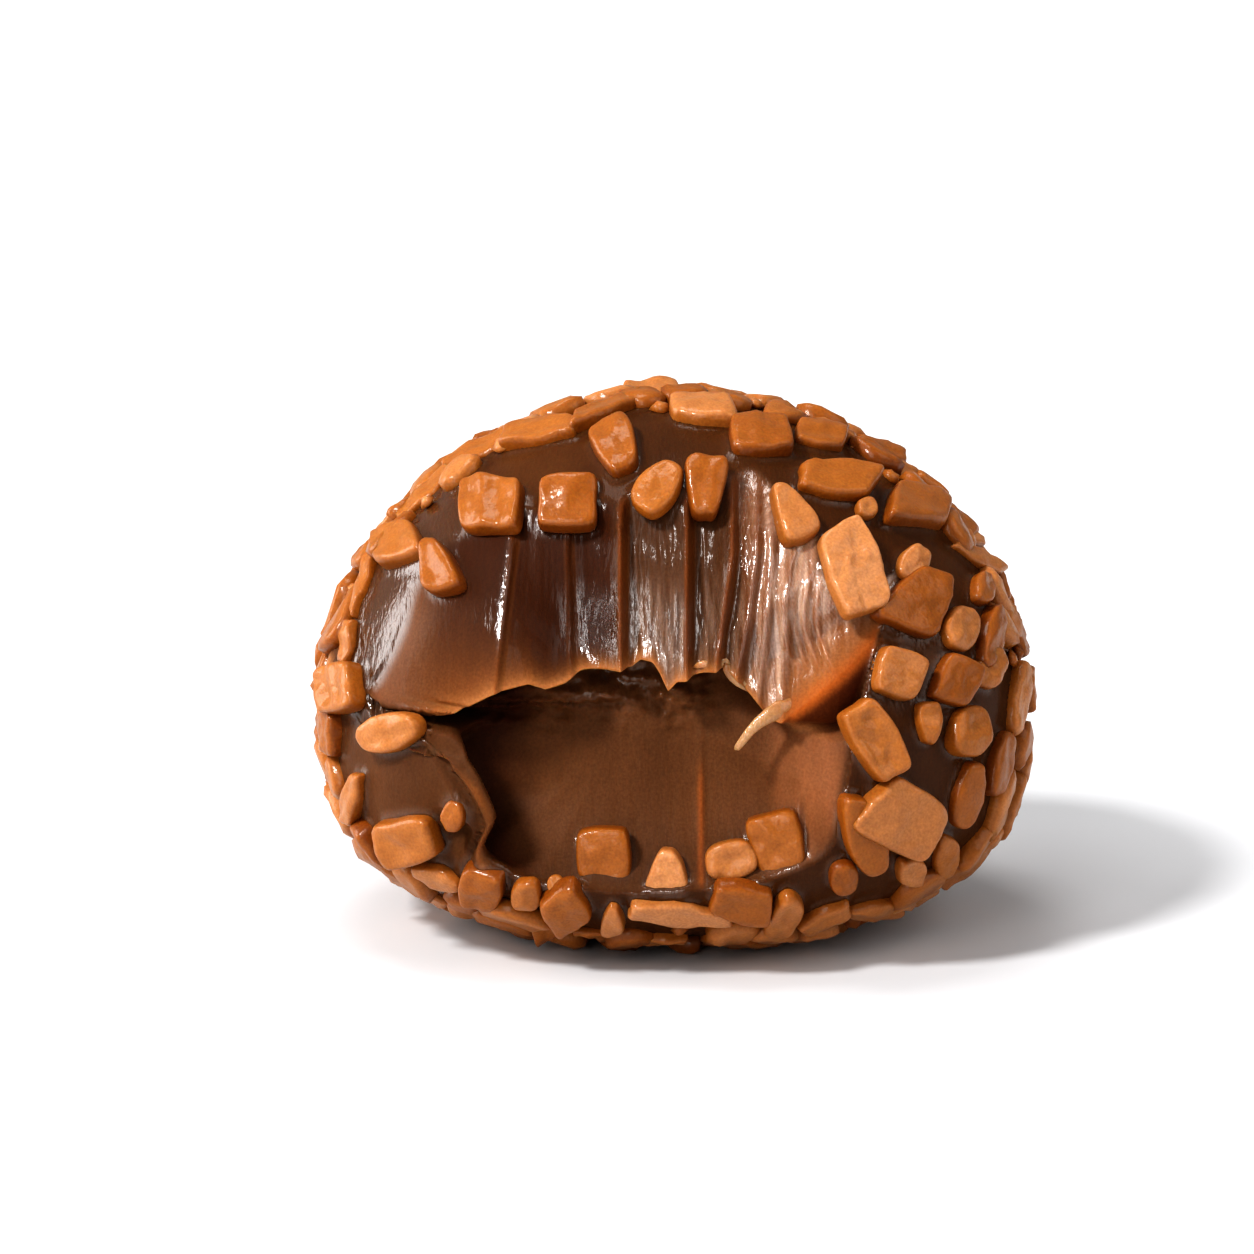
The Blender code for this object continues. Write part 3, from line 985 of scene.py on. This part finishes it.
def front_flakes(bm, core, draw):
    """Lays the front's flakes one by one, and gives each one's place and reach."""
    tree = BVHTree.FromBMesh(core)
    plain, detailed = flake_template(FRONT_FLAKE_CELLS), flake_template(DETAILED_FLAKE_CELLS)
    layer = bm.verts.layers.float["shade"]
    taken = []
    for across, up, wide, tall, turn, form in FRONT_FLAKES:
        hit, hit_normal, _, _ = tree.ray_cast(EYE, sight_line(across, up))
        point = seen_on_skin(across, up, FLAKE_SINK)
        normal = skin_normal(point, FLAKE_SINK)
        if hit is not None and (hit - point).length < 4:
            point = hit
            normal = (normal * 2 + hit_normal).normalized()
        facing = -normal.dot(SIGHT)
        lean = Vector([draw.uniform(-1, 1) for _ in range(3)]) * FRONT_LEAN
        lean -= SIGHT * FACE_LEAN * smooth((facing - 0.2) / 0.4)
        if turn:
            lean -= SIGHT * max(TURNED_FACING - facing, 0.0)
        normal = (normal + lean).normalized()
        thick = FLAKE_THICKNESS * draw.uniform(0.9, 1.15) * min(wide, tall, 2.2) / 2.2
        lay = seen_place if turn or facing > LEAST_FACING else flake_place
        place = lay(point, normal, math.radians(turn), FORMS[form][3])
        size = (wide, tall * SEEN_EDGE, thick)
        # A random tone, with the form's paleness added: painted light when above 0, painted shade when
        # below 0.
        shade = min(max(draw.uniform(0.0, 0.8) + FORMS[form][4], 0.0), 1.0)
        template = detailed if form in DETAILED_FORMS else plain
        add_flake(bm, template, place, size, form, draw.uniform(0, 50), shade, layer)
        taken.append((point, (wide + tall) / 4))
    return taken


def scatter_flakes(bm, draw, taken, sizes, overlap, cells, forms):
    """Lays flakes of a range of sizes wherever they still find room."""
    template = flake_template(cells)
    layer = bm.verts.layers.float["shade"]
    golden = math.pi * (3 - math.sqrt(5))
    order = list(range(LOOSE_COUNT))
    draw.shuffle(order)
    for i in order:
        level = 1 - 2 * (i + 0.5) / LOOSE_COUNT
        ring = math.sqrt(1 - level * level)
        direction = Vector((ring * math.cos(golden * i), ring * math.sin(golden * i), level))
        point = skin_point(direction, FLAKE_SINK)
        normal = skin_normal(point, FLAKE_SINK)
        if point.z < 0.3 or -normal.dot(SIGHT) > LEAST_FACING or bare_swell(point) > 0.1:
            continue
        size = draw.uniform(*sizes)
        if any((point - other).length < (reach + size / 2) * overlap for other, reach in taken):
            continue
        lean = Vector([draw.uniform(-1, 1) for _ in range(3)]) * LOOSE_LEAN
        normal = (normal + lean).normalized()
        place = flake_place(point, normal, draw.uniform(0, math.pi), draw.uniform(*LOOSE_LIFTS))
        wide = size * draw.uniform(0.85, 1.1)
        tall = size * draw.uniform(0.8, 1.15)
        thick = FLAKE_THICKNESS * draw.uniform(0.85, 1.1) * min(size, 2.2) / 2.2
        form = draw.choice(forms)
        add_flake(bm, template, place, (wide, tall, thick), form, draw.uniform(0, 50), draw.random(), layer)
        taken.append((point, size / 2))


def build_flakes(core):
    """All the flakes: those on the front one by one, then the rest, then crumbs between them."""
    draw = random.Random(11)
    bm = bmesh.new()
    bm.verts.layers.float.new("shade")
    taken = front_flakes(bm, core, draw)
    loose_forms = ["square", "square", "slant", "wedge", "oval", "leaf", "drop"]
    scatter_flakes(bm, draw, taken, LOOSE_SIZES, LOOSE_OVERLAP, LOOSE_FLAKE_CELLS, loose_forms)
    scatter_flakes(bm, draw, taken, CRUMB_SIZES, CRUMB_OVERLAP, CRUMB_CELLS, ["oval", "drop", "square"])
    for vert in bm.verts:
        vert.co.z = max(vert.co.z, 0.0)
    return bm


# ---------------------------------------------------------------- finishes


def new_material(name):
    material = bpy.data.materials.new(name)
    material.use_nodes = True
    return material, material.node_tree, material.node_tree.nodes["Principled BSDF"]


def add_node(tree, kind, **settings):
    node = tree.nodes.new(kind)
    for key, value in settings.items():
        setattr(node, key, value)
    return node


def drag_noise(tree, scale, stretch, detail):
    """Noise on the object's own coordinates, stretched upright."""
    place = add_node(tree, "ShaderNodeTexCoord")
    mapping = add_node(tree, "ShaderNodeMapping")
    mapping.inputs["Scale"].default_value = (1.0, 1.0 / stretch, 1.0 / stretch)
    pattern = add_node(tree, "ShaderNodeTexNoise")
    pattern.inputs["Scale"].default_value = scale
    pattern.inputs["Detail"].default_value = detail
    tree.links.new(place.outputs["Object"], mapping.inputs["Vector"])
    tree.links.new(mapping.outputs["Vector"], pattern.inputs["Vector"])
    return pattern.outputs["Fac"]


def colour_ramp(tree, factor, stops):
    ramp = add_node(tree, "ShaderNodeValToRGB")
    ramp.color_ramp.elements[0].position = stops[0][0]
    ramp.color_ramp.elements[0].color = (*stops[0][1], 1)
    ramp.color_ramp.elements[1].position = stops[-1][0]
    ramp.color_ramp.elements[1].color = (*stops[-1][1], 1)
    for position, colour in stops[1:-1]:
        ramp.color_ramp.elements.new(position).color = (*colour, 1)
    tree.links.new(factor, ramp.inputs["Fac"])
    return ramp.outputs["Color"]


def multiply(tree, first, second):
    blend = add_node(tree, "ShaderNodeMix", data_type="RGBA", blend_type="MULTIPLY")
    blend.inputs["Factor"].default_value = 1.0
    tree.links.new(first, blend.inputs["A"])
    tree.links.new(second, blend.inputs["B"])
    return blend.outputs["Result"]


def rescale(tree, value, low, high):
    scale = add_node(tree, "ShaderNodeMapRange")
    scale.inputs["To Min"].default_value = low
    scale.inputs["To Max"].default_value = high
    tree.links.new(value, scale.inputs["Value"])
    return scale.outputs["Result"]


def attribute(tree, name):
    return add_node(tree, "ShaderNodeAttribute", attribute_name=name).outputs["Fac"]


def speckle(tree):
    """The fine sugar grain that both fudge and flakes have."""
    grain = drag_noise(tree, 7500.0, 1.0, 1.0)
    return colour_ramp(tree, grain, [(0.25, (0.86, 0.85, 0.84)), (0.75, (1.14, 1.15, 1.16))])


def fudge_finish():
    material, tree, shader = new_material("fudge")
    clouds = drag_noise(tree, 260.0, 2.5, 3.0)
    mottled = colour_ramp(tree, clouds, [(0.3, (0.82, 0.80, 0.78)), (0.7, (1.16, 1.18, 1.2))])
    tint = add_node(tree, "ShaderNodeAttribute", attribute_name="tint").outputs["Color"]
    shade = multiply(tree, multiply(tree, tint, mottled), speckle(tree))
    tree.links.new(shade, shader.inputs["Base Color"])
    tree.links.new(attribute(tree, "gloss"), shader.inputs["Coat Weight"])
    shader.inputs["Roughness"].default_value = 0.6
    shader.inputs["Specular IOR Level"].default_value = 0.09
    shader.inputs["Coat Roughness"].default_value = 0.12
    shader.inputs["Coat IOR"].default_value = 2.1
    shader.inputs["Subsurface Weight"].default_value = 0.3
    shader.inputs["Subsurface Radius"].default_value = (1.0, 0.35, 0.15)
    shader.inputs["Subsurface Scale"].default_value = 0.0008
    streaks = drag_noise(tree, 6000.0, 3.5, 3.0)
    relief = add_node(tree, "ShaderNodeBump")
    tree.links.new(rescale(tree, attribute(tree, "gloss"), 0.3, 1.0), relief.inputs["Strength"])
    relief.inputs["Distance"].default_value = 0.00008
    tree.links.new(streaks, relief.inputs["Height"])
    tree.links.new(relief.outputs["Normal"], shader.inputs["Normal"])
    tree.links.new(relief.outputs["Normal"], shader.inputs["Coat Normal"])
    return material


def flake_finish():
    material, tree, shader = new_material("caramel_flakes")
    shade = colour_ramp(
        tree,
        attribute(tree, "shade"),
        [
            (0.0, (0.19, 0.050, 0.003)),
            (0.25, (0.27, 0.082, 0.006)),
            (0.6, (0.34, 0.120, 0.020)),
            (1.0, (0.47, 0.205, 0.075)),
        ],
    )
    mottled = drag_noise(tree, 900.0, 1.0, 4.0)
    cloudy = colour_ramp(tree, mottled, [(0.3, (0.86, 0.84, 0.82)), (0.7, (1.0, 1.0, 1.0))])
    shade = multiply(tree, multiply(tree, shade, cloudy), speckle(tree))
    tree.links.new(shade, shader.inputs["Base Color"])
    shader.inputs["Roughness"].default_value = 0.55
    shader.inputs["Specular IOR Level"].default_value = 0.15
    shader.inputs["Coat Weight"].default_value = 0.4
    shader.inputs["Coat Roughness"].default_value = 0.16
    shader.inputs["Subsurface Weight"].default_value = 0.2
    shader.inputs["Subsurface Radius"].default_value = (1.0, 0.35, 0.1)
    shader.inputs["Subsurface Scale"].default_value = 0.0006
    relief = add_node(tree, "ShaderNodeBump")
    relief.inputs["Strength"].default_value = 0.6
    relief.inputs["Distance"].default_value = 0.00008
    tree.links.new(drag_noise(tree, 2200.0, 1.0, 4.0), relief.inputs["Height"])
    tree.links.new(relief.outputs["Normal"], shader.inputs["Normal"])
    tree.links.new(relief.outputs["Normal"], shader.inputs["Coat Normal"])
    return material


# ---------------------------------------------------------------- stage, light and camera


def make_stage():
    bm = bmesh.new()
    bmesh.ops.create_grid(bm, x_segments=1, y_segments=1, size=TABLE_HALF)
    mesh = bpy.data.meshes.new("floor")
    bm.to_mesh(mesh)
    bm.free()
    floor = bpy.data.objects.new("floor", mesh)
    bpy.context.scene.collection.objects.link(floor)
    material, _, shader = new_material("white_table")
    shader.inputs["Base Color"].default_value = TABLE_WHITE
    shader.inputs["Roughness"].default_value = 0.6
    mesh.materials.append(material)


def aim(obj, place, target):
    obj.location = place
    obj.rotation_mode = "QUATERNION"
    obj.rotation_quaternion = (Vector(target) - Vector(place)).to_track_quat("-Z", "Y")


def make_lights():
    sun = bpy.data.lights.new("key", "SUN")
    sun.energy = SUN_ENERGY
    sun.angle = SUN_ANGLE
    key = bpy.data.objects.new("key", sun)
    bpy.context.scene.collection.objects.link(key)
    aim(key, SUN_PLACE, (0, 0, 0))
    for name, (place, wide, tall, power) in PANELS.items():
        data = bpy.data.lights.new(name, "AREA")
        data.shape = "RECTANGLE"
        data.size = wide
        data.size_y = tall
        data.energy = power
        lamp = bpy.data.objects.new(name, data)
        bpy.context.scene.collection.objects.link(lamp)
        aim(lamp, place, PANEL_TARGET)
    world = bpy.data.worlds.new("studio")
    world.use_nodes = True
    world.node_tree.nodes["Background"].inputs["Color"].default_value = (1, 1, 1, 1)
    world.node_tree.nodes["Background"].inputs["Strength"].default_value = ROOM_LIGHT
    bpy.context.scene.world = world


def make_camera():
    data = bpy.data.cameras.new("camera")
    data.sensor_width = SENSOR_WIDTH
    data.lens = SENSOR_WIDTH * EYE_DISTANCE / VIEW_WIDTH
    data.clip_start = 0.01
    data.clip_end = 50
    camera = bpy.data.objects.new("camera", data)
    bpy.context.scene.collection.objects.link(camera)
    aim(camera, EYE * MM, AIM * MM)
    bpy.context.scene.camera = camera


def to_metres(bm):
    bmesh.ops.scale(bm, vec=(MM, MM, MM), verts=bm.verts[:])


def main():
    scene = bpy.context.scene
    scene.view_settings.view_transform = "Standard"
    scene.view_settings.look = "High Contrast"
    make_stage()
    make_lights()
    make_camera()
    core = build_fudge()
    flakes = build_flakes(core)
    strands = build_strands(core)
    wet_flakes(core, flakes)
    finish = fudge_finish()
    for bm in (core, flakes, strands):
        to_metres(bm)
    fudge = new_piece("fudge", core, finish)
    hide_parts("brigadeiro")
    new_piece("torn_strands", strands, finish)
    new_piece("flakes", flakes, flake_finish())


main()
